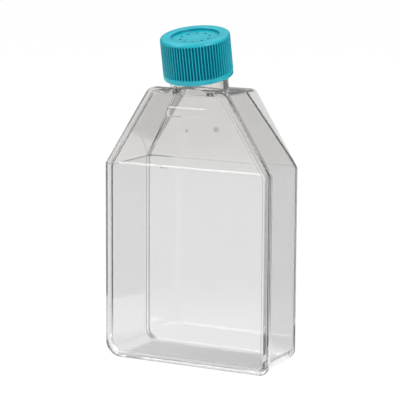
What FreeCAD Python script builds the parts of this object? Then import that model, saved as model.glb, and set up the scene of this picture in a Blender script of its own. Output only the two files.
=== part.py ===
import FreeCAD, Part
import math
import os

# Canted-neck cell culture flask with 75 square centimetres of growth area and a vented screw cap.
# Millimetres. +X is to the right, +Y to the growth face, +Z up. The origin is the middle of the
# base, on the surface that the flask stands on.

Vector = FreeCAD.Vector

# outline of the welded rim, which every wall follows
rim_width = 88.0
rim_height = 134.0
shoulder_height = 95.5
top_width = 40.0
left_base_corner = 7.8
right_base_corner = 4.2
shoulder_corner = 3.4
top_corner = 5.2
least_corner = 1.9

# section through the flask, front to back
depth = 37.5
wall = 1.5
base_wall = 1.7
right_wall_corner = 5.0   # of the walls behind the rim, at the base
inner_base_corner = 4.6
side_draft = 0.9          # how far the walls lean in by the growth face
rim_proud = 1.4           # how far the rim stands out from the walls
rim_thickness = 1.6
back_edge_radius = 2.0
inner_edge_radius = 1.4
ramp_deg = 16.0           # slope of the ramp that leads from the growth face to the neck

# cover plate, welded on the open front of the tub
panel_thickness = 1.4
frame_rise = 0.8
frame_width = 3.4
frame_chamfer = 0.35
rib_width = 1.5
rib_crest = 0.4
rib_rise = 0.45
rib_above_shoulder = 0.5

# butt weld between the rim and the cover plate
weld_gap = 0.05

# neck, canted away from the growth face
cant_deg = 12.0
neck_setback = 14.0       # from the frame's face to the neck's axis, at the top of the rim
neck_radius = 13.9
bore_radius = 11.3
thread_root_radius = 12.9
neck_length = 22.2        # from the top of the rim to the lip
plain_length = 7.0        # of the neck below its thread
plain_run_out = 0.8
lip_chamfer = 0.45
neck_clearance = 0.1      # between the neck and the top edge of the cover plate

# screw cap
cap_radius = 16.75
cap_lift = 5.2            # from the top of the rim to the cap's lower edge
cap_bore_clearance = 0.5
cap_top_radius = 1.5
cap_foot_chamfer = 0.5
band_height = 2.3
band_step = 0.1
rib_count = 70
groove_depth = 0.85
groove_share = 0.56       # width of a groove at its mouth, as a share of the pitch
groove_floor_share = 0.22
groove_end = 1.8          # from the cap's top to the upper end of the grooves
recess_radius = 11.5
recess_depth = 1.4
recess_floor = 1.1
vent_count = 10
vent_ring_radius = 7.1
vent_radius = 0.7
gate_dimple_radius = 1.1
gate_dimple_depth = 0.25

# filter and seal inside the cap
membrane_radius = 10.3
membrane_thickness = 0.35
membrane_gap = 0.05
seal_height = 0.9
seal_gap = 0.1
seal_margin = 0.3

# what moulding left: a bare raised pad and a gate mark in front, a gate mark on the ramp
pad_half_width = 10.6
pad_low = 120.3
pad_high = 125.2
pad_rise = 0.2
pad_edge_slope = 0.6      # how wide its sloping edges are, above and below
pad_end_slope = 1.6
cover_gate_height = 114.2
cover_gate_radius = 0.6
cover_gate_rise = 0.25
ramp_gate_height = 111.3
ramp_gate_radius = 1.5
ramp_gate_depth = 0.3

# worked out from the sizes above
front_y = -depth / 2
panel_y = front_y + frame_rise
rim_y = panel_y + panel_thickness
seat_y = rim_y + weld_gap
back_y = depth / 2
slant = math.atan2((rim_width - top_width) / 2, rim_height - shoulder_height)
cant = math.radians(cant_deg)
ramp = math.radians(ramp_deg)
neck_y = front_y + neck_setback
ceiling = neck_length + seal_gap + seal_height
cap_top = ceiling + recess_floor + recess_depth
cap_bore_radius = neck_radius + cap_bore_clearance
overshoot = 1.0           # how far a cutting tool runs past the face that it cuts
far = 2 * (rim_width + rim_height)


def outline_corners(inset, floor):
    # corners of the rim's outline moved in by the inset, as (x, z), from the lower right
    side = rim_width / 2 - inset
    shoulder = shoulder_height - inset * math.tan(slant / 2)
    top_half = top_width / 2 - inset * math.tan((math.pi / 2 - slant) / 2)
    top = rim_height - inset
    right = [(side, floor), (side, shoulder), (top_half, top)]
    return right + [(-x, z) for x, z in reversed(right)]


def corner_radii(right_base, left_base, inset):
    # in the order of the outline's corners; the radii above the base shrink with the inset
    radii = [max(radius - inset, least_corner) for radius in (shoulder_corner, top_corner)]
    return [right_base, *radii, *radii[::-1], left_base]


def polygon_face(points):
    return Part.Face(Part.makePolygon(points + [points[0]]))


def flat_block(rings):
    # solid with flat faces, through rings that have their corners in the same order
    count = len(rings[0])
    faces = [polygon_face(rings[0]), polygon_face(rings[-1])]
    for near, further in zip(rings, rings[1:]):
        for index in range(count):
            after = (index + 1) % count
            faces.append(polygon_face([near[index], near[after], further[after], further[index]]))
    block = Part.makeSolid(Part.makeShell(faces))
    if block.Volume < 0:
        block.reverse()
    return block


def outline_block(insets, floor, radii, start_y, end_y):
    # block between two depths, with flat sides, and rounded along the edges that join its ends
    ends = []
    for inset, y in zip(insets, (start_y, end_y)):
        ends.append([Vector(x, y, z) for x, z in outline_corners(inset, floor)])
    start, end = ends
    block = flat_block(ends)
    for index in range(len(start)):
        middle = (start[index] + end[index]) * 0.5
        edge = min(block.Edges, key=lambda one: one.CenterOfMass.distanceToPoint(middle))
        block = block.makeFillet(radii[index], [edge])
    return block


def outline_plate(inset, start_y, thickness):
    # flat plate of the rim's outline, moved in by the inset all round
    right_base = max(right_base_corner - inset, least_corner)
    radii = corner_radii(right_base, left_base_corner - inset, inset)
    return outline_block((inset, inset), inset, radii, start_y, start_y + thickness)


def wall_inset(y):
    # how far inside the rim the walls' outer faces are at that depth
    return rim_proud + side_draft * (y - rim_y) / (back_y - rim_y)


def tub_block(start_y, end_y):
    # drafted block between two depths, as wide as the walls' outer faces
    insets = [wall_inset(y) for y in (start_y, end_y)]
    radii = corner_radii(right_wall_corner, left_base_corner, rim_proud)
    return outline_block(insets, 0, radii, start_y, end_y)


def inner_block(start_y, end_y):
    # the same, as wide as the walls' inner faces
    insets = [wall_inset(y) + wall for y in (start_y, end_y)]
    radii = corner_radii(inner_base_corner, inner_base_corner, rim_proud + wall)
    return outline_block(insets, base_wall, radii, start_y, end_y)


def section_prism(points):
    # (y, z) points of a section, carried right across the flask
    return polygon_face([Vector(-far / 2, y, z) for y, z in points]).extrude(Vector(far, 0, 0))


def ramp_outside(z):
    return back_y - (z - shoulder_height) * math.tan(ramp)


def inner_crease():
    return shoulder_height - wall * math.tan(ramp / 2)


def ramp_inside(z):
    return back_y - wall - (z - inner_crease()) * math.tan(ramp)


def edges_where(solid, test):
    return [edge for edge in solid.Edges if test(edge.CenterOfMass)]


def turned(points):
    # solid of revolution about Z from (radius, height) points
    face = polygon_face([Vector(radius, 0, height) for radius, height in points])
    return face.revolve(Vector(0, 0, 0), Vector(0, 0, 1), 360)


def rounded_corner(radius, height, rounding, steps, side):
    # (radius, height) points round an outer corner, from its wall to its end, the side 1 up or -1 down;
    # with one step it is a chamfer
    points = []
    for index in range(steps + 1):
        angle = math.pi / 2 * index / steps
        out = radius - rounding * (1 - math.cos(angle))
        points.append((out, height - side * rounding * (1 - math.sin(angle))))
    return points


def on_neck(solid):
    # from the neck's own axis to its place in the flask
    placed = solid.copy()
    placed.rotate(Vector(0, 0, 0), Vector(1, 0, 0), cant_deg)
    placed.translate(Vector(0, neck_y, rim_height))
    return placed


def neck_outside():
    body = turned([
        (0, -neck_radius),
        (neck_radius, -neck_radius),
        (neck_radius, plain_length),
        (thread_root_radius, plain_length + plain_run_out),
        *rounded_corner(thread_root_radius, neck_length, lip_chamfer, 1, 1),
        (0, neck_length),
    ])
    body = on_neck(body)
    top_wall_middle = rim_height - rim_proud - wall / 2
    over_cover = rim_height + neck_clearance
    body = body.cut(Part.makeBox(far, far, far, Vector(-far / 2, -far / 2, top_wall_middle - far)))
    return body.cut(Part.makeBox(far, far, far, Vector(-far / 2, seat_y - far, over_cover - far)))


def neck_bore():
    start = -(neck_radius + wall)
    length = neck_length + overshoot - start
    return on_neck(Part.makeCylinder(bore_radius, length, Vector(0, 0, start)))


def growth_cavity():
    # the space inside, with rounded edges round the growth face and the ramp
    inside = inner_block(rim_y - overshoot, back_y + overshoot)
    top = rim_height + overshoot
    cavity = inside.common(section_prism([
        (rim_y - 2 * overshoot, -overshoot),
        (back_y - wall, -overshoot),
        (back_y - wall, inner_crease()),
        (ramp_inside(top), top),
        (rim_y - 2 * overshoot, top),
    ]))

    def at_back(centre):
        on_ramp = centre.z > inner_crease() and abs(centre.y - ramp_inside(centre.z)) < 0.01
        return on_ramp or abs(centre.y - (back_y - wall)) < 0.01

    return cavity.makeFillet(inner_edge_radius, edges_where(cavity, at_back))


def ramp_pocket():
    # the hollow behind the ramp, between the skirts of the side walls
    inside = inner_block(rim_y - overshoot, back_y + overshoot)
    top = rim_height + overshoot
    return inside.common(section_prism([
        (back_y, shoulder_height),
        (back_y + 2 * overshoot, shoulder_height),
        (back_y + 2 * overshoot, top),
        (ramp_outside(top), top),
    ]))


def flask_body():
    tub = tub_block(seat_y + rim_thickness / 2, back_y)
    back_edges = edges_where(tub, lambda centre: abs(centre.y - back_y) < 0.01)
    tub = tub.makeFillet(back_edge_radius, back_edges)
    tub = tub.fuse(outline_plate(0, seat_y, rim_thickness))
    tub = tub.fuse(neck_outside())
    tub = tub.cut(growth_cavity())
    tub = tub.cut(ramp_pocket())
    tub = tub.cut(neck_bore())
    outward = Vector(0, math.cos(ramp), math.sin(ramp))
    mark = Vector(0, ramp_outside(ramp_gate_height), ramp_gate_height) - outward * ramp_gate_depth
    tub = tub.cut(Part.makeCylinder(ramp_gate_radius, overshoot, mark, outward))
    return tub.removeSplitter()


def shoulder_rib():
    # low ridge with sloping sides, from one side of the frame to the other
    middle = shoulder_height + rib_above_shoulder
    crest = panel_y - rib_rise
    root = panel_y + panel_thickness / 2
    rib = section_prism([
        (root, middle - rib_width / 2),
        (panel_y, middle - rib_width / 2),
        (crest, middle - rib_crest / 2),
        (crest, middle + rib_crest / 2),
        (panel_y, middle + rib_width / 2),
        (root, middle + rib_width / 2),
    ])
    return rib.common(outline_plate(frame_width / 2, front_y, depth))


def raised_pad():
    # sunk halfway into the panel, with sloping edges all round
    rings = []
    for y, end_slope, edge_slope in (
        (panel_y + panel_thickness / 2, 0, 0),
        (panel_y, 0, 0),
        (panel_y - pad_rise, pad_end_slope, pad_edge_slope),
    ):
        x = pad_half_width - end_slope
        low = pad_low + edge_slope
        high = pad_high - edge_slope
        rings.append([Vector(-x, y, low), Vector(x, y, low), Vector(x, y, high), Vector(-x, y, high)])
    return flat_block(rings)


def cover_plate():
    plate = outline_plate(0, front_y, frame_rise + panel_thickness)
    front_edges = edges_where(plate, lambda centre: abs(centre.y - front_y) < 0.01)
    plate = plate.makeChamfer(frame_chamfer, front_edges)
    plate = plate.cut(outline_plate(frame_width, front_y - overshoot, overshoot + frame_rise))
    plate = plate.fuse(shoulder_rib())
    plate = plate.fuse(raised_pad())
    sunk = panel_thickness / 2
    gate_foot = Vector(0, panel_y + sunk, cover_gate_height)
    gate = Part.makeCylinder(cover_gate_radius, sunk + cover_gate_rise, gate_foot, Vector(0, -1, 0))
    plate = plate.fuse(gate)
    return plate.removeSplitter()


def cap_blank():
    # turned outside of the cap, with the band at its foot
    band_radius = cap_radius - band_step
    foot = rounded_corner(band_radius, cap_lift, cap_foot_chamfer, 1, -1)
    return turned([
        (0, cap_lift),
        *foot[::-1],
        (band_radius, cap_lift + band_height),
        (cap_radius, cap_lift + band_height),
        *rounded_corner(cap_radius, cap_top, cap_top_radius, 3, 1),
        (0, cap_top),
    ])


def grip_grooves():
    # sleeve whose inner teeth cut the grooves between the ribs, from the band to below the top
    pitch = 2 * math.pi / rib_count
    floor = cap_radius - groove_depth
    outside = cap_radius + overshoot
    widening = (groove_share - groove_floor_share) / groove_depth
    points = []
    for index in range(rib_count):
        middle = index * pitch
        for radius, side in ((outside, -1), (floor, -1), (floor, 1), (outside, 1)):
            share = groove_floor_share + widening * (radius - floor)
            angle = middle + side * min(share, 0.98) * pitch / 2
            points.append(Vector(radius * math.cos(angle), radius * math.sin(angle), 0))
    star = polygon_face(points)
    foot = cap_lift + band_height
    height = cap_top - groove_end - foot
    star.translate(Vector(0, 0, foot))
    sleeve = Part.makeCylinder(outside, height, Vector(0, 0, foot))
    return sleeve.cut(star.extrude(Vector(0, 0, height)))


def vent_holes():
    holes = []
    for index in range(vent_count):
        angle = 2 * math.pi * index / vent_count
        x = vent_ring_radius * math.cos(angle)
        y = vent_ring_radius * math.sin(angle)
        foot = Vector(x, y, ceiling - overshoot)
        holes.append(Part.makeCylinder(vent_radius, cap_top - ceiling + overshoot, foot))
    return holes


def cap_shell():
    shell = cap_blank().cut(grip_grooves())
    foot = Vector(0, 0, cap_lift - overshoot)
    shell = shell.cut(Part.makeCylinder(cap_bore_radius, ceiling - cap_lift + overshoot, foot))
    seal_inner = bore_radius + seal_margin
    seal_outer = thread_root_radius - lip_chamfer
    seal = turned([
        (seal_inner, ceiling - seal_height),
        (seal_outer, ceiling - seal_height),
        (seal_outer, ceiling + recess_floor / 2),
        (seal_inner, ceiling + recess_floor / 2),
    ])
    shell = shell.fuse(seal)
    recess_base = cap_top - recess_depth
    recess_foot = Vector(0, 0, recess_base)
    shell = shell.cut(Part.makeCylinder(recess_radius, recess_depth + overshoot, recess_foot))
    for hole in vent_holes():
        shell = shell.cut(hole)
    dimple_foot = Vector(0, 0, recess_base - gate_dimple_depth)
    shell = shell.cut(Part.makeCylinder(gate_dimple_radius, overshoot, dimple_foot))
    return on_neck(shell.removeSplitter())


def filter_membrane():
    foot = Vector(0, 0, ceiling - membrane_gap - membrane_thickness)
    return on_neck(Part.makeCylinder(membrane_radius, membrane_thickness, foot))


def write(name, shape):
    print(name, "solids", len(shape.Solids), "valid", shape.isValid(), "mm3", round(shape.Volume, 1))
    shape.Solids[0].exportStep("parts/" + name + ".step")


os.makedirs("parts", exist_ok=True)
write("flask_body", flask_body())
write("cover_plate", cover_plate())
write("cap_shell", cap_shell())
write("filter_membrane", filter_membrane())
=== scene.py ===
import math
import bpy
from mathutils import Matrix, Vector
from mathutils.geometry import delaunay_2d_cdt


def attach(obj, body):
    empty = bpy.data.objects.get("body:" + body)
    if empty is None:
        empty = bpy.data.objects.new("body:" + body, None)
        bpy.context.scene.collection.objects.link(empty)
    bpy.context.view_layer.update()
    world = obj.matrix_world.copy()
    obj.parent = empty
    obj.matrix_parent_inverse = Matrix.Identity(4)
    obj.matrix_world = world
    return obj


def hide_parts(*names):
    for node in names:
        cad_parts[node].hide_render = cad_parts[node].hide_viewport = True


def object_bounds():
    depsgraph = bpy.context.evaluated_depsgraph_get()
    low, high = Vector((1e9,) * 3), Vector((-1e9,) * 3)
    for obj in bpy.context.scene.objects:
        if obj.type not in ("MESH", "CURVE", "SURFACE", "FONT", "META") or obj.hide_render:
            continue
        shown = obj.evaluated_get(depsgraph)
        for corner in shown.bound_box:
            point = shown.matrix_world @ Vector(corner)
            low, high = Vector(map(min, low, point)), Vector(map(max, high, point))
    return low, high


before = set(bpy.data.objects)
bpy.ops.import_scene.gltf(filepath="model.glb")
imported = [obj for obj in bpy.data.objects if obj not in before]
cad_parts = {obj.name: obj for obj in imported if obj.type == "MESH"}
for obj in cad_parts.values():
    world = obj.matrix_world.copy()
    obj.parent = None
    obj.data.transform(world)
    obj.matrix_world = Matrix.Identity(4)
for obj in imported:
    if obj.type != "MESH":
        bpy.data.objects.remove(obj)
cadLow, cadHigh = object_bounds()
mm = 0.001


def newNode(tree, kind, x, y, inputs=None, **settings):
    # a node with its properties set, and fixed values on its inputs
    node = tree.nodes.new(kind)
    node.location = (x, y)
    for name, value in settings.items():
        setattr(node, name, value)
    for name, value in (inputs or {}).items():
        node.inputs[name].default_value = value
    return node


def feed(tree, source, socket):
    # an input takes a link from an output, or a fixed value
    if isinstance(source, bpy.types.NodeSocket):
        tree.links.new(source, socket)
    else:
        socket.default_value = source


def mathNode(tree, operation, x, y, *sources):
    node = newNode(tree, "ShaderNodeMath", x, y, operation=operation)
    for socket, source in zip(node.inputs, sources):
        feed(tree, source, socket)
    return node.outputs[0]


def vectorNode(tree, operation, x, y, *sources):
    node = newNode(tree, "ShaderNodeVectorMath", x, y, operation=operation)
    for socket, source in zip(node.inputs, sources):
        feed(tree, source, socket)
    return node.outputs["Value" if operation in ("LENGTH", "DISTANCE", "DOT_PRODUCT") else "Vector"]


def splitVector(tree, source, x, y):
    node = newNode(tree, "ShaderNodeSeparateXYZ", x, y)
    tree.links.new(source, node.inputs[0])
    return node.outputs


def product(tree, x, y, *masks):
    # the masks multiplied together
    result = masks[0]
    for index, mask in enumerate(masks[1:]):
        result = mathNode(tree, "MULTIPLY", x + 150 * index, y, result, mask)
    return result


def mapRange(tree, source, reach, values, x, y, kind="LINEAR"):
    # from the first value to the second as the source goes across the reach
    node = newNode(tree, "ShaderNodeMapRange", x, y, interpolation_type=kind)
    tree.links.new(source, node.inputs["Value"])
    for name, value in zip(("From Min", "From Max", "To Min", "To Max"), (*reach, *values)):
        feed(tree, value, node.inputs[name])
    return node.outputs[0]


def falloff(tree, source, reach, values, x, y):
    # the same, with a soft start and end
    return mapRange(tree, source, reach, values, x, y, "SMOOTHSTEP")


def blend(tree, kind, factor, first, second, x, y):
    # from the first colour or number to the second as the factor goes from 0 to 1
    node = newNode(tree, "ShaderNodeMix", x, y, data_type=kind)
    for name, source in (("Factor", factor), ("A", first), ("B", second)):
        feed(tree, source, node.inputs[name])
    return node.outputs["Result"]


def mixShaders(tree, factor, first, second, x, y):
    node = newNode(tree, "ShaderNodeMixShader", x, y)
    for socket, source in zip(node.inputs, (factor, first, second)):
        tree.links.new(source, socket)
    return node.outputs[0]


def shadeRamp(tree, source, shades, x, y):
    # grey shades at places from 0 to 1
    ramp = newNode(tree, "ShaderNodeValToRGB", x, y)
    elements = ramp.color_ramp.elements
    elements[0].position, elements[1].position = shades[0][0], shades[-1][0]
    for place, shade in shades[1:-1]:
        elements.new(place)
    for element, (place, shade) in zip(elements, shades):
        element.color = (shade, shade, shade, 1)
    tree.links.new(source, ramp.inputs["Fac"])
    return ramp.outputs["Color"]


def bumpNode(tree, height, distance, strength, x, y, under=None):
    # relief on the face, on top of another bump if there is one
    node = newNode(tree, "ShaderNodeBump", x, y, {"Distance": distance, "Strength": strength})
    tree.links.new(height, node.inputs["Height"])
    if under is not None:
        tree.links.new(under.outputs[0], node.inputs["Normal"])
    return node


def newMaterial(name):
    material = bpy.data.materials.new(name)
    material.use_nodes = True
    material.node_tree.nodes.clear()
    return material, material.node_tree


def newGroup(name, inputs, outputs):
    group = bpy.data.node_groups.new(name, "ShaderNodeTree")
    for label, value in inputs.items():
        socket = group.interface.new_socket(label, in_out="INPUT", socket_type="NodeSocketFloat")
        socket.default_value = value
    for label in outputs:
        group.interface.new_socket(label, in_out="OUTPUT", socket_type="NodeSocketFloat")
    start = newNode(group, "NodeGroupInput", -900, 0)
    end = newNode(group, "NodeGroupOutput", 900, 0)
    return group, start.outputs, end.inputs


def useGroup(tree, group, values, x, y):
    node = newNode(tree, "ShaderNodeGroup", x, y, node_tree=group)
    for name, value in values.items():
        node.inputs[name].default_value = value
    return node.outputs


# shared effects
handlingLook = {
    "directions": ((0.3, 0.5, 0.2), (1.1, -0.7, 0.9)),   # the scratches run two ways
    "stretch": (1.0, 0.05, 1.0),
    "lineWidth": 0.008,
    "patchScale": 17.0,
    "patchReach": (0.5, 0.68),
}


def makeHandlingMarks(look):
    # faint scratches in patches, and broad smudges, from handling and packing
    group, start, end = newGroup("handlingMarks", {
        "Scale": 60.0, "Amount": 0.3, "Seed": 0.0}, ("Mask", "Smudge"))
    coords = newNode(group, "ShaderNodeTexCoord", -900, 300)
    moved = vectorNode(group, "ADD", -700, 300, coords.outputs["Object"], start["Seed"])
    lines = []
    for index, direction in enumerate(look["directions"]):
        y = 300 - 300 * index
        spin = newNode(group, "ShaderNodeMapping", -450, y,
                       {"Rotation": direction, "Scale": look["stretch"]})
        streaks = newNode(group, "ShaderNodeTexNoise", -250, y, {"Detail": 0.0})
        group.links.new(moved, spin.inputs["Vector"])
        group.links.new(spin.outputs[0], streaks.inputs["Vector"])
        group.links.new(start["Scale"], streaks.inputs["Scale"])
        # a line wherever the noise crosses its middle value
        apart = mathNode(group, "SUBTRACT", -50, y, streaks.outputs["Fac"], 0.5)
        size = mathNode(group, "ABSOLUTE", 100, y, apart)
        lines.append(mapRange(group, size, (0.0, look["lineWidth"]), (1.0, 0.0), 250, y))
    smudge = newNode(group, "ShaderNodeTexNoise", 0, -400,
                     {"Scale": look["patchScale"], "Detail": 2.0, "Distortion": 0.4})
    group.links.new(moved, smudge.inputs["Vector"])
    patches = mapRange(group, smudge.outputs["Fac"], look["patchReach"], (0.0, 1.0), 250, -400)
    every = mathNode(group, "MAXIMUM", 430, 200, *lines)
    group.links.new(product(group, 580, 100, every, patches, start["Amount"]), end["Mask"])
    group.links.new(smudge.outputs["Fac"], end["Smudge"])
    return group


def makeMouldedSkin():
    # the slow waviness and fine grain that a moulded plastic face has, as a height
    group, start, end = newGroup("mouldedSkin", {
        "Wave Scale": 25.0, "Grain Scale": 900.0, "Grain": 0.2, "Seed": 0.0}, ("Height", "Tone"))
    coords = newNode(group, "ShaderNodeTexCoord", -900, 300)
    moved = vectorNode(group, "ADD", -600, 300, coords.outputs["Object"], start["Seed"])
    wave = newNode(group, "ShaderNodeTexNoise", -300, 300, {"Detail": 1.0, "Roughness": 0.4})
    grain = newNode(group, "ShaderNodeTexNoise", -300, 0, {"Detail": 2.0, "Roughness": 0.6})
    for noise, scale in ((wave, "Wave Scale"), (grain, "Grain Scale")):
        group.links.new(moved, noise.inputs["Vector"])
        group.links.new(start[scale], noise.inputs["Scale"])
    fine = mathNode(group, "MULTIPLY", 0, 0, grain.outputs["Fac"], start["Grain"])
    total = mathNode(group, "ADD", 200, 150, wave.outputs["Fac"], fine)
    group.links.new(total, end["Height"])
    group.links.new(wave.outputs["Fac"], end["Tone"])
    return group


handlingMarks = makeHandlingMarks(handlingLook)
mouldedSkin = makeMouldedSkin()
print("shared effects made")

# clear polystyrene of the tub, the neck and the cover plate
clearPlastic = {
    "tint": (0.905, 0.905, 0.905),
    # painted shade: above the shoulder the clear plastic is tinted a little darker and warmer
    "shoulderShadeTint": (0.872, 0.865, 0.857),
    "shoulderReach": (95 * mm, 97 * mm),
    "refraction": 1.59,
    "depthColour": (0.64, 0.65, 0.63),
    "depthDensity": 9.0,       # how fast it darkens through its own thickness, per metre
    "lampTint": (0.93, 0.935, 0.93),
    "roughness": (0.012, 0.05),
    "smudgeReach": (0.35, 0.75),
    "waveScale": 22.0,
    "waveHeight": 0.012 * mm,
    "scratchScale": 70.0,
    "scratchAmount": 0.6,
    "scratchHeight": 0.004 * mm,
    # painted shade: darker bands along the moulded edge round the growth face
    "edgeBands": ((0.0, 0.0), (0.03, 0.0), (0.08, 1.0), (0.36, 1.0), (0.44, 0.0), (1.0, 0.0)),
    "edgeShade": 0.48,
    "edgeFrom": (15.5 * mm, 15.7 * mm),
    "edgeMiddle": (-1 * mm, 1 * mm),
    "edgeRight": 0.25,         # how much of it the right hand edge gets
    # painted shade on the bevels round the frame and the rim, by how far they face the front or the back
    "rimShade": 0.14,
    "bevelRise": (0.35, 0.5),
    "bevelFall": (0.82, 0.92),
    "rimFront": (-15.2 * mm, -15.0 * mm),
    "rimTop": (132.5 * mm, 133.5 * mm),
    "stepZone": (80 * mm, 110 * mm),
    "stepSoft": 1 * mm,
    "stepTilt": (0.05, 0.15),
    # painted shade: a thin dark line along the crease of the shoulder
    "creaseShade": 0.45,
    "creaseSides": (94.6 * mm, 95.2 * mm),
    "creaseBack": (94.9 * mm, 95.4 * mm),
    "creaseSoft": 0.15 * mm,
    "creaseLeft": (-38.5 * mm, -37.5 * mm),
    "creaseFade": (-31 * mm, -24 * mm),
    "creaseFaint": 0.22,
    "creaseBehind": (15 * mm, 15.5 * mm),
    "creaseInFront": (-15.5 * mm, -15 * mm),
    "gateShade": 0.55,
    "gateCore": 0.8,
}
rampGate = {"place": (0, 14.2 * mm, 111.3 * mm), "radius": 1.45 * mm}
coverGate = {"place": (0, -18.1 * mm, 114.2 * mm), "radius": 0.7 * mm}


def paintedEdgeBandMask(tree, normal, place, values, x, y):
    # painted shade: two dark bands along each rounded upright edge at the back, one each side of its
    # middle
    slant = mathNode(tree, "MULTIPLY", x, y, normal["X"], normal["Y"])
    size = mathNode(tree, "ABSOLUTE", x + 150, y, slant)
    bands = shadeRamp(tree, size, values["edgeBands"], x + 300, y)
    atBack = falloff(tree, place["Y"], values["edgeFrom"], (0.0, 1.0), x + 300, y - 250)
    sides = falloff(tree, place["X"], values["edgeMiddle"], (1.0, values["edgeRight"]), x + 300, y - 500)
    return product(tree, x + 600, y, bands, atBack, sides)


def stripMask(tree, source, reach, soft, x, y):
    # 1 between two places along an axis
    rise = falloff(tree, source, (reach[0] - soft, reach[0]), (0.0, 1.0), x, y)
    fall = falloff(tree, source, (reach[1], reach[1] + soft), (1.0, 0.0), x, y - 250)
    return product(tree, x + 200, y, rise, fall)


def paintedCreaseMask(tree, place, values, x, y):
    # painted shade, along the left wall, and from there along the back, where it soon gets fainter
    onSide = stripMask(tree, place["Z"], values["creaseSides"], values["creaseSoft"], x, y)
    onBack = stripMask(tree, place["Z"], values["creaseBack"], values["creaseSoft"], x, y - 500)
    left = falloff(tree, place["X"], values["creaseLeft"], (1.0, 0.0), x, y - 1000)
    along = falloff(tree, place["X"], values["creaseFade"], (1.0, values["creaseFaint"]), x, y - 1250)
    behind = falloff(tree, place["Y"], values["creaseBehind"], (0.0, 1.0), x, y - 1500)
    inFront = falloff(tree, place["Y"], values["creaseInFront"], (0.0, 1.0), x, y - 1750)
    sideLine = product(tree, x + 450, y, onSide, left, inFront)
    backLine = product(tree, x + 450, y - 500, onBack, along, behind)
    return mathNode(tree, "MAXIMUM", x + 800, y, sideLine, backLine)


def paintedRimLineMask(tree, normal, place, values, x, y):
    # painted shade on the narrow bevels round the frame and the rim, but not the level step across the
    # cover
    size = mathNode(tree, "ABSOLUTE", x, y, normal["Y"])
    rise = falloff(tree, size, values["bevelRise"], (0.0, 1.0), x + 150, y)
    fall = falloff(tree, size, values["bevelFall"], (1.0, 0.0), x + 150, y - 250)
    atFront = falloff(tree, place["Y"], values["rimFront"], (1.0, 0.0), x + 150, y - 500)
    belowNeck = falloff(tree, place["Z"], values["rimTop"], (1.0, 0.0), x + 150, y - 750)
    sideways = mathNode(tree, "ABSOLUTE", x, y - 1000, normal["X"])
    level = falloff(tree, sideways, values["stepTilt"], (1.0, 0.0), x + 150, y - 1000)
    midway = stripMask(tree, place["Z"], values["stepZone"], values["stepSoft"], x + 150, y - 1250)
    step = product(tree, x + 550, y - 1000, level, midway)
    others = mathNode(tree, "SUBTRACT", x + 700, y - 1000, 1.0, step)
    return product(tree, x + 400, y, rise, fall, atFront, belowNeck, others)


def gateMask(tree, place, gate, core, x, y):
    # the round mark where the moulding's gate broke off
    apart = vectorNode(tree, "DISTANCE", x, y, place, gate["place"])
    return falloff(tree, apart, (gate["radius"] * core, gate["radius"]), (1.0, 0.0), x + 200, y)


def clearMaterial(name, seed, values, gate):
    material, tree = newMaterial(name)
    out = newNode(tree, "ShaderNodeOutputMaterial", 1100, 0)
    body = newNode(tree, "ShaderNodeBsdfPrincipled", 500, 0,
                   {"IOR": values["refraction"], "Transmission Weight": 1.0})
    coords = newNode(tree, "ShaderNodeTexCoord", -1300, 600).outputs
    place = splitVector(tree, coords["Object"], -1100, 600)
    normal = splitVector(tree, coords["Normal"], -1100, 800)
    # painted shade: a darker, warmer tint above the shoulder
    above = mapRange(tree, place["Z"], values["shoulderReach"], (0.0, 1.0), -500, 600)
    colour = blend(tree, "RGBA", above, (*values["tint"], 1), (*values["shoulderShadeTint"], 1), -300, 600)
    # painted shade: the edge bands, the crease line and the bevel lines darken the base colour; the
    # gate's mark is the plastic's own
    masks = (
        (paintedEdgeBandMask(tree, normal, place, values, -900, 1700), values["edgeShade"]),
        (paintedCreaseMask(tree, place, values, -900, 3500), values["creaseShade"]),
        (paintedRimLineMask(tree, normal, place, values, -900, 5000), values["rimShade"]),
        (gateMask(tree, coords["Object"], gate, values["gateCore"], -900, 900), values["gateShade"]),
    )
    for index, (mask, shade) in enumerate(masks):
        kept = mapRange(tree, mask, (0.0, 1.0), (1.0, shade), -100 + 150 * index, 900)
        scaled = newNode(tree, "ShaderNodeVectorMath", -100 + 150 * index, 600, operation="SCALE")
        tree.links.new(colour, scaled.inputs[0])
        tree.links.new(kept, scaled.inputs["Scale"])
        colour = scaled.outputs[0]
    tree.links.new(colour, body.inputs["Base Color"])
    marks = useGroup(tree, handlingMarks, {
        "Scale": values["scratchScale"], "Amount": values["scratchAmount"], "Seed": seed}, -700, -200)
    skin = useGroup(tree, mouldedSkin, {
        "Wave Scale": values["waveScale"], "Grain": 0.0, "Seed": seed}, -700, 200)
    rough = mapRange(tree, marks["Smudge"], values["smudgeReach"], values["roughness"], -300, -200)
    tree.links.new(rough, body.inputs["Roughness"])
    wavy = bumpNode(tree, skin["Height"], values["waveHeight"], 1.0, -300, 200)
    scratched = bumpNode(tree, marks["Mask"], values["scratchHeight"], 1.0, -50, 100, wavy)
    scratched.invert = True
    tree.links.new(scratched.outputs[0], body.inputs["Normal"])
    # light from a lamp, and light between matt surfaces, goes straight through
    path = newNode(tree, "ShaderNodeLightPath", 500, 500).outputs
    passing = mathNode(tree, "MAXIMUM", 700, 400, path["Is Shadow Ray"], path["Is Diffuse Ray"])
    lamp = newNode(tree, "ShaderNodeBsdfTransparent", 700, 200, {"Color": (*values["lampTint"], 1)})
    mixed = mixShaders(tree, passing, body.outputs[0], lamp.outputs[0], 900, 100)
    tree.links.new(mixed, out.inputs["Surface"])
    depth = newNode(tree, "ShaderNodeVolumeAbsorption", 900, -200,
                    {"Color": (*values["depthColour"], 1), "Density": values["depthDensity"]})
    tree.links.new(depth.outputs[0], out.inputs["Volume"])
    return material


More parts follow.
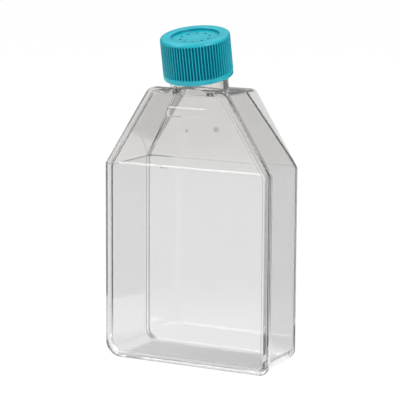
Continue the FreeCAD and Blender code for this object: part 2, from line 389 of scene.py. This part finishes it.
# turquoise polyethylene of the cap
capPlastic = {
    "colour": (0.005, 0.420, 0.508),
    "deepColour": (0.002, 0.355, 0.445),
    "toneReach": (0.25, 0.6),
    "hollowShadeColour": (0.0, 0.140, 0.225),   # painted shade deep in the grooves and the vent holes
    "gloss": (0.45, 0.08),     # on the open faces, and in the grooves, where less shine goes with the painted shade
    "refraction": 1.52,
    "milkiness": 0.05,
    "milkDepth": (0.3, 1.0, 1.0),
    "milkScale": 1 * mm,
    "roughness": (0.22, 0.34),
    "smudgeReach": (0.35, 0.7),
    "waveScale": 90.0,
    "grainScale": 2600.0,
    "grain": 0.5,
    "grainHeight": 0.02 * mm,
    "markScale": 120.0,
    "markAmount": 0.5,
}


def capMaterial(name, values):
    material, tree = newMaterial(name)
    out = newNode(tree, "ShaderNodeOutputMaterial", 900, 0)
    body = newNode(tree, "ShaderNodeBsdfPrincipled", 500, 0, {
        "IOR": values["refraction"], "Subsurface Weight": values["milkiness"],
        "Subsurface Radius": values["milkDepth"], "Subsurface Scale": values["milkScale"]})
    skin = useGroup(tree, mouldedSkin, {
        "Wave Scale": values["waveScale"], "Grain Scale": values["grainScale"],
        "Grain": values["grain"], "Seed": 3.0}, -500, 100)
    marks = useGroup(tree, handlingMarks, {
        "Scale": values["markScale"], "Amount": values["markAmount"], "Seed": 7.0}, -500, -250)
    tone = mapRange(tree, skin["Tone"], values["toneReach"], (0.0, 1.0), -150, 200)
    colour = blend(tree, "RGBA", tone, (*values["deepColour"], 1), (*values["colour"], 1), 100, 200)
    # painted shade: the hollow attribute darkens the colour and lowers the shine in the grooves, the
    # vent holes and the recess's wall
    hollow = newNode(tree, "ShaderNodeAttribute", 100, 500, attribute_name="hollow").outputs["Fac"]
    gloss = mapRange(tree, hollow, (0.0, 1.0), values["gloss"], 300, 650)
    tree.links.new(gloss, body.inputs["Specular IOR Level"])
    deep = blend(tree, "RGBA", hollow, colour, (*values["hollowShadeColour"], 1), 300, 400)
    tree.links.new(deep, body.inputs["Base Color"])
    rough = mapRange(tree, marks["Smudge"], values["smudgeReach"], values["roughness"], -150, -250)
    tree.links.new(rough, body.inputs["Roughness"])
    bump = bumpNode(tree, skin["Height"], values["grainHeight"], 1.0, 200, -100)
    tree.links.new(bump.outputs[0], body.inputs["Normal"])
    tree.links.new(body.outputs[0], out.inputs["Surface"])
    return material


# white filter disc under the vent holes
filterSheet = {
    "colour": (0.86, 0.87, 0.86),
    "shade": (0.72, 0.74, 0.74),
    "roughness": 0.85,
    "fuzz": 0.15,
    "waveScale": 700.0,
    "grainScale": 4200.0,
    "grainHeight": 0.02 * mm,
    "grainStrength": 0.8,
}


def filterMaterial(name, values):
    material, tree = newMaterial(name)
    out = newNode(tree, "ShaderNodeOutputMaterial", 700, 0)
    body = newNode(tree, "ShaderNodeBsdfPrincipled", 400, 0,
                   {"Roughness": values["roughness"], "Sheen Weight": values["fuzz"]})
    skin = useGroup(tree, mouldedSkin, {
        "Wave Scale": values["waveScale"], "Grain Scale": values["grainScale"],
        "Grain": 1.0, "Seed": 11.0}, -400, 0)
    colour = blend(tree, "RGBA", skin["Tone"], (*values["shade"], 1), (*values["colour"], 1), 0, 100)
    tree.links.new(colour, body.inputs["Base Color"])
    bump = bumpNode(tree, skin["Height"], values["grainHeight"], values["grainStrength"], 100, -150)
    tree.links.new(bump.outputs[0], body.inputs["Normal"])
    tree.links.new(body.outputs[0], out.inputs["Surface"])
    return material


tubPlastic = clearMaterial("clearTubPlastic", 1.0, clearPlastic, rampGate)
coverPlastic = clearMaterial("clearCoverPlastic", 5.0, clearPlastic, coverGate)
capFinish = capMaterial("turquoiseCapPlastic", capPlastic)
filterFinish = filterMaterial("filterDisc", filterSheet)


def dress(node, material):
    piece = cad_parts[node]
    for slot in piece.material_slots:
        slot.material = material


dress("flask_body", tubPlastic)
dress("cover_plate", coverPlastic)
dress("cap_shell", capFinish)
dress("filter_membrane", filterFinish)
print("materials on the frame's nodes")

# screw threads, on the neck outside and in the cap inside
threads = {
    "axisFoot": (0.0, -4.75 * mm, 134.0 * mm),
    "cantDeg": 12.0,
    "pitch": 4.0 * mm,
    "neckRoot": 12.9 * mm,
    "neckCrest": 13.55 * mm,
    "neckReach": (9.3 * mm, 20.6 * mm),
    "capRoot": 14.4 * mm,
    "capCrest": 13.75 * mm,
    "capReach": (8.0 * mm, 19.5 * mm),
    "stepsPerTurn": 72,
    "halfFoot": 0.75 * mm,
    "halfCrest": 0.35 * mm,
    "buried": 0.12 * mm,       # how deep the ridge's foot lies in the wall
    "fadeTurns": 0.2,
    "fadeFrom": 0.08,          # share of its height that it starts and ends with
    "bendHeight": 0.8,         # where the flank bends, as a share of the height
    "bendWidth": 1.35,         # and as a share of halfCrest
    "topWidth": 0.7,
}


def neckAxis():
    tilt = Matrix.Rotation(math.radians(threads["cantDeg"]), 4, "X")
    return Matrix.Translation(threads["axisFoot"]) @ tilt


def helixRidge(name, root, crest, reach, body, material):
    # closed ridge along a right-handed helix, which fades into the wall at both ends
    low, high = reach
    outward = crest > root
    turns = (high - low) / threads["pitch"]
    steps = int(turns * threads["stepsPerTurn"])
    place = neckAxis()
    foot = root - threads["buried"] if outward else root + threads["buried"]
    wide, bendWide = threads["halfFoot"], threads["halfCrest"] * threads["bendWidth"]
    topWide = threads["halfCrest"] * threads["topWidth"]
    points, faces = [], []
    for step in range(steps + 1):
        along = step / steps
        angle = 2 * math.pi * turns * along
        fade = min(1.0, along * turns / threads["fadeTurns"], (1 - along) * turns / threads["fadeTurns"])
        share = threads["fadeFrom"] + (1 - threads["fadeFrom"]) * (0.5 - 0.5 * math.cos(math.pi * fade))
        top = foot + (crest - foot) * share
        bend = foot + (top - foot) * threads["bendHeight"]
        height = low + (high - low) * along
        section = ((foot, -wide), (bend, -bendWide), (top, -topWide),
                   (top, topWide), (bend, bendWide), (foot, wide))
        for radius, rise in section:
            x, y = radius * math.cos(angle), radius * math.sin(angle)
            points.append(place @ Vector((x, y, height + rise)))
    count = len(section)
    for step in range(steps):
        for index in range(count):
            after = (index + 1) % count
            a, b = step * count + index, step * count + after
            face = (a, b, b + count, a + count)
            faces.append(face if outward else face[::-1])
    start, end = list(range(count)), [steps * count + index for index in range(count)]
    faces.append(start[::-1] if outward else start)
    faces.append(end if outward else end[::-1])
    mesh = bpy.data.meshes.new(name)
    mesh.from_pydata(points, [], faces)
    mesh.validate()
    mesh.materials.append(material)
    mesh.shade_smooth()
    piece = bpy.data.objects.new(name, mesh)
    bpy.context.scene.collection.objects.link(piece)
    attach(piece, body)
    return piece


neckThread = helixRidge("neckThread", threads["neckRoot"], threads["neckCrest"], threads["neckReach"],
                        "flask", tubPlastic)
capThread = helixRidge("capThread", threads["capRoot"], threads["capCrest"], threads["capReach"],
                       "cap", capFinish)
print("threads made")

# screw cap in full detail: rounded grip ribs, band, recessed top with vent holes, gate dimple and seal
capForm = {
    "ribs": 70,
    "columnsPerRib": 12,
    "foot": 5.2 * mm,
    "top": 25.66 * mm,
    "radius": 16.71 * mm,
    "bandRadius": 16.62 * mm,
    # how far up and how far in from the band, at the foot
    "footRounding": ((0.0, 0.5 * mm), (0.06 * mm, 0.3 * mm), (0.2 * mm, 0.12 * mm), (0.45 * mm, 0.0)),
    "bandStep": (0.35 * mm, 0.15 * mm),   # below the ribs: the band's end, and halfway out to the ribs
    "grooveDepth": 0.95 * mm,
    "crestShare": (0.05, 0.40),   # shares of the pitch from a rib's middle: its edge, and the groove
    "ribEnds": (7.45 * mm, 24.15 * mm),
    "ribEndLength": 0.8 * mm,
    "ribEndSteps": (0.12, 0.28, 0.44, 0.6, 0.76, 0.9, 1.0),
    "topRounding": 1.5 * mm,
    "lipRounding": 0.6 * mm,
    "roundingSteps": 6,
    "recessRadius": 11.5 * mm,
    "recessDepth": 1.36 * mm,
    "recessFillet": 0.2 * mm,
    "recessShade": 0.6,           # how much of that painted shade the recess's wall has
    "recessShadeFrom": 0.4 * mm,  # below the top
    "grooveShade": (0.1, 0.85),   # shares of the groove's depth where its painted shade starts and ends
    "ceiling": 23.2 * mm,
    "bore": 14.4 * mm,
    "boreBevel": 0.3 * mm,
    "sealRadii": (11.6 * mm, 12.45 * mm),
    "sealHeight": 0.9 * mm,
    "sealBevel": 0.2 * mm,
    "vents": 10,
    "ventSides": 28,
    "ventRing": 7.1 * mm,
    "ventRadius": 0.7 * mm,
    "ventBevel": 0.12 * mm,
    "ventMargin": 0.15 * mm,
    "dimpleSides": 40,
    "dimpleRadius": 1.1 * mm,
    "dimpleMargin": 0.3 * mm,
    "dimpleDepth": 0.25 * mm,
    "dimpleSteps": ((1.0, 0.24), (0.85, 0.88), (0.6, 1.0)),   # shares of its radius and its depth
    "cornerShare": 0.3,           # how far the middle of a small rounding lies from its corner
    "sharpDeg": 42,
}


def smoothShare(value, low, high):
    share = min(max((value - low) / (high - low), 0.0), 1.0)
    return share * share * (3 - 2 * share)


def addRing(points, radii, height, centre=(0.0, 0.0)):
    # one point for each radius, anticlockwise from +X; gives back their numbers
    first = len(points)
    for index, radius in enumerate(radii):
        angle = 2 * math.pi * index / len(radii)
        x, y = centre[0] + radius * math.cos(angle), centre[1] + radius * math.sin(angle)
        points.append(Vector((x, y, height)))
    return list(range(first, len(points)))


def joinRings(faces, near, further):
    # faces between two rings, one of which may have several times the points of the other
    count = min(len(near), len(further))
    nearStep, furtherStep = len(near) // count, len(further) // count
    for index in range(count):
        one = [near[(index * nearStep + step) % len(near)] for step in range(nearStep + 1)]
        other = [further[(index * furtherStep + step) % len(further)] for step in range(furtherStep + 1)]
        faces.append(one + other[::-1])


def lathe(points, faces, profile, count, start=None, centre=(0.0, 0.0)):
    # rings for (radius, height) pairs, joined one after another; gives back the last ring
    ring = start
    for radius, height in profile:
        after = addRing(points, [radius] * count, height, centre)
        if ring is not None:
            joinRings(faces, ring, after)
        ring = after
    return ring


def perforatedDisc(points, faces, rim, holes, upwards):
    # flat face inside a rim, with holes in it; rings are lists of point numbers
    tolerance, wellInside = 1e-6, 0.97   # in millimetres, and as a share of a hole's radius
    numbers, edges = [], []
    for ring in [rim] + holes:
        first = len(numbers)
        numbers += ring
        edges += [(first + index, first + (index + 1) % len(ring)) for index in range(len(ring))]
    flat = [Vector((points[number].x, points[number].y)) / mm for number in numbers]
    places, _, triangles, sources, _, _ = delaunay_2d_cdt(flat, edges, [], 0, tolerance)
    centres = [(sum((points[number] for number in hole), Vector()) / len(hole)) / mm for hole in holes]
    reaches = [(points[hole[0]] / mm - centre).length for hole, centre in zip(holes, centres)]
    for triangle in triangles:
        middle = sum((places[corner] for corner in triangle), Vector((0, 0))) / 3
        inside = [(middle - centre.xy).length < reach * wellInside
                  for centre, reach in zip(centres, reaches)]
        if any(inside):
            continue   # in a hole
        face = [numbers[sources[corner][0]] for corner in triangle]
        faces.append(face if upwards else face[::-1])


def ribbedRings(points, faces):
    # outside of the cap from its foot to the top of the ribs; gives back the first and the last ring
    form = capForm
    fall = []
    for column in range(form["ribs"] * form["columnsPerRib"]):
        fromCrest = 0.5 - abs(0.5 - ((column / form["columnsPerRib"] + 0.5) % 1.0))
        fall.append(smoothShare(fromCrest, *form["crestShare"]))
    foot, band, crest, end = form["foot"], form["bandRadius"], form["radius"], form["ribEndLength"]
    low, high = form["ribEnds"]
    bandEnd, halfway = form["bandStep"]
    rows = [(foot + rise, band - inset) for rise, inset in form["footRounding"]]
    rows += [(low - bandEnd, band), (low - halfway, (band + crest) / 2), (low, crest)]
    rows += [(low + end * step, crest) for step in form["ribEndSteps"]]
    rows += [((low + high) / 2, crest)]
    rows += [(high - end * step, crest) for step in form["ribEndSteps"][::-1]]
    rows += [(high, crest)]
    rings = []
    for height, radius in rows:
        reach = smoothShare(min(height - low, high - height), 0.0, end)
        depth = form["grooveDepth"] * math.sqrt(reach)
        rings.append(addRing(points, [radius - depth * share for share in fall], height))
    for near, further in zip(rings, rings[1:]):
        joinRings(faces, near, further)
    return rings[0], rings[-1]


def hollowShadeShare(point):
    # painted shade: 1 deep in a groove or a vent hole, 0 on the open faces
    form = capForm
    radius = math.hypot(point.x, point.y)
    top, floor, near = form["top"], form["top"] - form["recessDepth"], 0.1 * mm
    low, high = form["ribEnds"]
    if abs(radius - form["recessRadius"]) < near and floor < point.z < top - form["recessShadeFrom"]:
        return form["recessShade"]
    if radius < form["recessRadius"]:
        inVent = form["ceiling"] - near < point.z < floor - near and radius > form["ventRing"] / 2
        return 1.0 if inVent else 0.0
    if radius > (form["bore"] + form["radius"]) / 2 and low < point.z < high:
        start, end = [share * form["grooveDepth"] for share in form["grooveShade"]]
        return smoothShare(form["radius"] - radius, start, end)
    return 0.0


def ventHole(points, faces, centre, floor):
    # from the recess down through the top; gives back its upper and its lower edge
    form = capForm
    radius, bevel, sides = form["ventRadius"], form["ventBevel"], form["ventSides"]
    edge = lathe(points, faces, [(radius + bevel + form["ventMargin"], floor)], sides, None, centre)
    corner = bevel * form["cornerShare"]
    down = [(radius + bevel, floor), (radius + corner, floor - corner)]
    down += [(radius, floor - bevel), (radius, form["ceiling"])]
    return edge, lathe(points, faces, down, sides, edge, centre)


def makeCap():
    form = capForm
    points, faces = [], []
    first, ring = ribbedRings(points, faces)
    top, radius, ceiling = form["top"], form["radius"], form["ceiling"]
    quarter = [math.pi / 2 * step / form["roundingSteps"] for step in range(form["roundingSteps"] + 1)]
    # over the top's edge and the lip, and down into the recess
    edge, lip = form["topRounding"], form["lipRounding"]
    profile = [(radius - edge * (1 - math.cos(a)), top - edge * (1 - math.sin(a))) for a in quarter]
    ring = lathe(points, faces, profile, form["ribs"] * form["columnsPerRib"], ring)
    recess, fillet, floor = form["recessRadius"], form["recessFillet"], top - form["recessDepth"]
    profile = [(recess + lip * (1 - math.sin(a)), top - lip * (1 - math.cos(a))) for a in quarter]
    corner = fillet * form["cornerShare"]
    profile += [(recess, floor + fillet), (recess - corner, floor + corner)]
    profile += [(recess - fillet, floor), (recess - fillet * 2, floor)]
    count = form["ribs"] * 2
    rim = lathe(points, faces, profile, count, ring)
    # vent holes, and the gate's dimple in the middle
    upper, lower = [], []
    for index in range(form["vents"]):
        angle = 2 * math.pi * index / form["vents"]
        centre = (form["ventRing"] * math.cos(angle), form["ventRing"] * math.sin(angle))
        above, below = ventHole(points, faces, centre, floor)
        upper.append(above)
        lower.append(below)
    size, margin, sides = form["dimpleRadius"], form["dimpleMargin"], form["dimpleSides"]
    dimple = lathe(points, faces, [(size + margin, floor)], sides)
    sunk = [(size + margin / 3, floor)]
    sunk += [(size * out, floor - form["dimpleDepth"] * down) for out, down in form["dimpleSteps"]]
    faces.append(lathe(points, faces, sunk, sides, dimple))
    perforatedDisc(points, faces, rim, upper + [dimple], True)
    # underside: ceiling, seal and bore
    sealIn, sealOut = form["sealRadii"]
    inner = lathe(points, faces, [(sealIn, ceiling)], count)
    perforatedDisc(points, faces, inner, lower, False)
    sealFoot, bevel = ceiling - form["sealHeight"], form["sealBevel"]
    bore, wide, foot = form["bore"], form["boreBevel"], form["foot"]
    profile = [(sealIn, sealFoot + bevel), (sealIn + bevel, sealFoot), (sealOut - bevel, sealFoot)]
    profile += [(sealOut, sealFoot + bevel), (sealOut, ceiling), (bore - wide, ceiling)]
    profile += [(bore, ceiling - wide), (bore, foot + wide), (bore + wide, foot)]
    ring = lathe(points, faces, profile, count, inner)
    joinRings(faces, ring, first)
    place = neckAxis()
    mesh = bpy.data.meshes.new("ventedCap")
    mesh.from_pydata([place @ point for point in points], [], faces)
    mesh.materials.append(capFinish)
    # painted shade for the grooves, the vent holes and the recess's wall
    paintedShadeValues = mesh.attributes.new("hollow", "FLOAT", "POINT")
    paintedShadeValues.data.foreach_set("value", [hollowShadeShare(point) for point in points])
    mesh.shade_smooth()
    mesh.set_sharp_from_angle(angle=math.radians(form["sharpDeg"]))
    cap = bpy.data.objects.new("ventedCap", mesh)
    bpy.context.scene.collection.objects.link(cap)
    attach(cap, "cap")
    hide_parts("cap_shell")
    return cap


ventedCap = makeCap()
print("cap made,", len(ventedCap.data.polygons), "faces")

# studio: white paper under the flask, and a room that is darker further off
studio = {
    "floorSize": 8.0,
    "floorDrop": 0.05 * mm,
    "floorColour": (0.96, 0.96, 0.96),
    "floorRoughness": 0.7,
    "floorGloss": 0.1,
    "floorGlow": 0.85,         # how much of what is seen of the paper is its own glow
    "soft": 1 * mm,
    "footprint": (39 * mm, 16 * mm),
    "footprintGlow": (1.18, 1.02),   # painted light: the paper glows brighter under the flask, from the flask's left to its right
    # how far from the flask the paper goes from white to the far shade
    "farShade": 0.10,
    "nearReach": (0.04, 0.16),       # in reflections inside the clear plastic
    "outerReach": (0.45, 0.90),      # in reflections off its outside
    "bounceReach": (0.15, 0.52),     # in the light that the paper sends up
    # painted light in reflections inside the plastic: the paper glows white behind the flask
    # as far as an edge, and in a brighter strip in front
    "behindReach": (0.0, 0.02),
    "paperEdgeSide": (0.92, 0.39, 0.0),
    "paperEdge": (0.057, 0.064),
    "paperBehind": 0.95,
    "frontStrip": (-0.028, -0.019),
    "stripGlow": 1.8,
    # in reflections off the outside: darker toward one side
    "dimSide": (0.454, 0.891, 0.0),
    "dimReach": (0.80, 0.92),
    "dimShade": 0.25,
    "mirrorDepth": (1.5, 0.9),       # one or two reflections on the way
    # from straight down to straight up
    "roomShades": ((0.0, 0.12), (0.50, 0.12), (0.69, 0.10), (0.74, 0.42), (0.80, 0.95), (0.92, 0.95),
                   (1.0, 0.6)),
    "skyShades": ((0.0, 0.30), (0.50, 0.32), (0.75, 0.90), (1.0, 1.25)),
    "lampAim": (0, 0, 0.1),
    # place, size and power
    "lamps": {
        "keyLamp": ((-0.75, -0.75, 1.15), 0.8, 5.2),
        "lowLamp": ((-0.75, -0.95, 0.78), 0.5, 2.2),
        "fillLamp": ((1.1, -0.5, 0.6), 0.8, 6.8),
    },
}


def reflectedShare(tree, path, x, y):
    # 1 for what is seen by one or two reflections, 0 for none and for light piped along a wall
    return mathNode(tree, "COMPARE", x, y, path["Glossy Depth"], *studio["mirrorDepth"])


def towardSide(tree, source, side, reach, values, x, y):
    # falloff by how far a place or a direction lies to a side
    return falloff(tree, vectorNode(tree, "DOT_PRODUCT", x, y, source, side), reach, values, x + 200, y)


def paperGlow(tree, place, x, y):
    # how white the paper glows, seen directly and through the flask; painted light makes it a little
    # brighter under the flask
    soft, glow = studio["soft"], studio["footprintGlow"]
    edges = []
    for index, (axis, half) in enumerate(zip("XY", studio["footprint"])):
        size = mathNode(tree, "ABSOLUTE", x, y - 100 * index, place[axis])
        reach = (half - soft, half + soft)
        edges.append(falloff(tree, size, reach, (1.0, 0.0), x + 200, y - 100 * index))
    half = studio["footprint"][0]
    across = falloff(tree, place["X"], (-half, half), glow, x + 200, y + 250)
    return mapRange(tree, product(tree, x + 400, y, *edges), (0.0, 1.0), (1.0, across), x + 600, y)


def mirroredPaper(tree, place, away, path, outer, near):
    # painted light: what reflections see of the paper's glow, inside the clear plastic and off its
    # outside
    soft, glow = studio["soft"], studio["stripGlow"]
    edge = towardSide(tree, place, studio["paperEdgeSide"], studio["paperEdge"],
                      (studio["paperBehind"], studio["farShade"]), -500, -700)
    depth = splitVector(tree, place, -700, -500)["Y"]
    behind = falloff(tree, depth, studio["behindReach"], (0.0, 1.0), -500, -500)
    front, back = studio["frontStrip"]
    rise = falloff(tree, depth, (front - soft, front + soft), (0.0, glow), -500, -300)
    fall = falloff(tree, depth, (back - soft, back + soft), (1.0, 0.0), -500, -400)
    beyond = blend(tree, "FLOAT", behind, near, edge, -150, -600)
    inside = mathNode(tree, "ADD", 0, -600, beyond, product(tree, -300, -300, rise, fall))
    dim = towardSide(tree, away, studio["dimSide"], studio["dimReach"],
                     (1.0, studio["dimShade"]), -500, -1300)
    outside = product(tree, -100, -1200, outer, dim)
    within = mathNode(tree, "GREATER_THAN", -100, -900, path["Transmission Depth"], 0.5)
    return blend(tree, "FLOAT", within, outside, inside, 150, -800)


def floorMaterial():
    material, tree = newMaterial("floorPaper")
    out = newNode(tree, "ShaderNodeOutputMaterial", 900, 0)
    place = newNode(tree, "ShaderNodeTexCoord", -1100, 0).outputs["Object"]
    path = newNode(tree, "ShaderNodeLightPath", -400, 500).outputs
    distance = vectorNode(tree, "LENGTH", -800, 0, place)
    away = vectorNode(tree, "NORMALIZE", -800, -700, place)
    near, outer, spread = [
        falloff(tree, distance, studio[name], (1.0, studio["farShade"]), -500, y)
        for name, y in (("nearReach", 0), ("outerReach", -250), ("bounceReach", 250))]
    paper = newNode(tree, "ShaderNodeBsdfPrincipled", 0, 0, {
        "Base Color": (*studio["floorColour"], 1), "Roughness": studio["floorRoughness"],
        "Specular IOR Level": studio["floorGloss"]})
    bounceLight = newNode(tree, "ShaderNodeBsdfDiffuse", 0, 200)
    tree.links.new(spread, bounceLight.inputs["Color"])
    glow = newNode(tree, "ShaderNodeEmission", 0, -400)
    # painted light: the paper glows brighter under the flask
    brightness = paperGlow(tree, splitVector(tree, place, -900, 700), -700, 900)
    tree.links.new(brightness, glow.inputs["Strength"])
    # painted light, seen only in reflections
    mirrored = newNode(tree, "ShaderNodeEmission", 300, -400)
    tree.links.new(mirroredPaper(tree, place, away, path, outer, near), mirrored.inputs["Strength"])
    seen = mathNode(tree, "MAXIMUM", -150, 500, path["Is Camera Ray"], path["Is Transmission Ray"])
    share = mathNode(tree, "MULTIPLY", 50, 500, seen, studio["floorGlow"])
    bounced = mixShaders(tree, path["Is Diffuse Ray"], paper.outputs[0], bounceLight.outputs[0],
                         200, 200)
    straight = mixShaders(tree, share, bounced, glow.outputs[0], 450, 0)
    final = mixShaders(tree, reflectedShare(tree, path, 450, 300), straight, mirrored.outputs[0], 700, 0)
    tree.links.new(final, out.inputs["Surface"])
    return material


def makeFloor():
    half, height = studio["floorSize"] / 2, cadLow.z - studio["floorDrop"]
    mesh = bpy.data.meshes.new("floor")
    corners = [(-half, -half), (half, -half), (half, half), (-half, half)]
    mesh.from_pydata([(x, y, height) for x, y in corners], [], [(0, 1, 2, 3)])
    mesh.materials.append(floorMaterial())
    floor = bpy.data.objects.new("floor", mesh)
    bpy.context.scene.collection.objects.link(floor)


def makeLamp(name, place, size, power):
    data = bpy.data.lights.new(name, "AREA")
    data.shape = "DISK"
    data.size = size
    data.energy = power
    lamp = bpy.data.objects.new(name, data)
    lamp.location = place
    aim = Vector(studio["lampAim"]) - Vector(place)
    lamp.rotation_mode = "QUATERNION"
    lamp.rotation_quaternion = aim.to_track_quat("-Z", "Y")
    bpy.context.scene.collection.objects.link(lamp)


def makeSky():
    # white where it is seen directly or through the flask, a room in reflections,
    # and soft light for the rest
    world = bpy.data.worlds.new("studioSky")
    bpy.context.scene.world = world
    world.use_nodes = True
    tree = world.node_tree
    tree.nodes.clear()
    out = newNode(tree, "ShaderNodeOutputWorld", 900, 0)
    coords = newNode(tree, "ShaderNodeTexCoord", -900, 0)
    height = splitVector(tree, coords.outputs["Generated"], -700, 0)["Z"]
    rise = mapRange(tree, height, (-1.0, 1.0), (0.0, 1.0), -550, 0)
    sky = newNode(tree, "ShaderNodeBackground", 0, 200)
    room = newNode(tree, "ShaderNodeBackground", 0, -200)
    white = newNode(tree, "ShaderNodeBackground", 0, -400, {"Color": (1, 1, 1, 1)})
    for background, shades, y in ((sky, studio["skyShades"], 200), (room, studio["roomShades"], -200)):
        tree.links.new(shadeRamp(tree, rise, shades, -350, y), background.inputs["Color"])
    path = newNode(tree, "ShaderNodeLightPath", -400, 600).outputs
    seen = mathNode(tree, "MAXIMUM", -100, 600, path["Is Camera Ray"], path["Is Transmission Ray"])
    straight = mixShaders(tree, seen, sky.outputs[0], white.outputs[0], 300, 0)
    final = mixShaders(tree, reflectedShare(tree, path, 300, 400), straight, room.outputs[0], 600, 0)
    tree.links.new(final, out.inputs["Surface"])


makeFloor()
makeSky()
for lampName, (lampPlace, lampSize, lampPower) in studio["lamps"].items():
    makeLamp(lampName, lampPlace, lampSize, lampPower)
print("studio made")

# camera
camera = {
    "azimuthDeg": 27.631,
    "elevationDeg": 9.949,
    "rollDeg": 0.303,
    "distance": 994.13 * mm,
    "aimAside": -1.765 * mm,
    "aimHeight": 78.196 * mm,
    "lens": 185.07,
    "sensor": 36.0,
    "clip": (0.01, 50.0),
}


def makeCamera():
    azimuth, elevation = math.radians(camera["azimuthDeg"]), math.radians(camera["elevationDeg"])
    roll = math.radians(camera["rollDeg"])
    back = Vector((math.sin(azimuth) * math.cos(elevation), -math.cos(azimuth) * math.cos(elevation),
                   math.sin(elevation)))
    right = Vector((math.cos(azimuth), math.sin(azimuth), 0))
    up = right.cross(-back)
    turnedRight = right * math.cos(roll) + up * math.sin(roll)
    turnedUp = up * math.cos(roll) - right * math.sin(roll)
    aim = right * camera["aimAside"] + Vector((0, 0, camera["aimHeight"]))
    data = bpy.data.cameras.new("camera")
    data.lens, data.sensor_width = camera["lens"], camera["sensor"]
    data.clip_start, data.clip_end = camera["clip"]
    eye = bpy.data.objects.new("camera", data)
    turn = Matrix((turnedRight, turnedUp, back)).transposed()
    eye.matrix_world = Matrix.Translation(aim + back * camera["distance"]) @ turn.to_4x4()
    bpy.context.scene.collection.objects.link(eye)
    bpy.context.scene.camera = eye


makeCamera()
bpy.context.scene.view_settings.view_transform = "Standard"
# the light has many clear walls to pass
bpy.context.scene.cycles.max_bounces = 64
bpy.context.scene.cycles.glossy_bounces = 48
bpy.context.scene.cycles.transmission_bounces = 48
print("camera made")
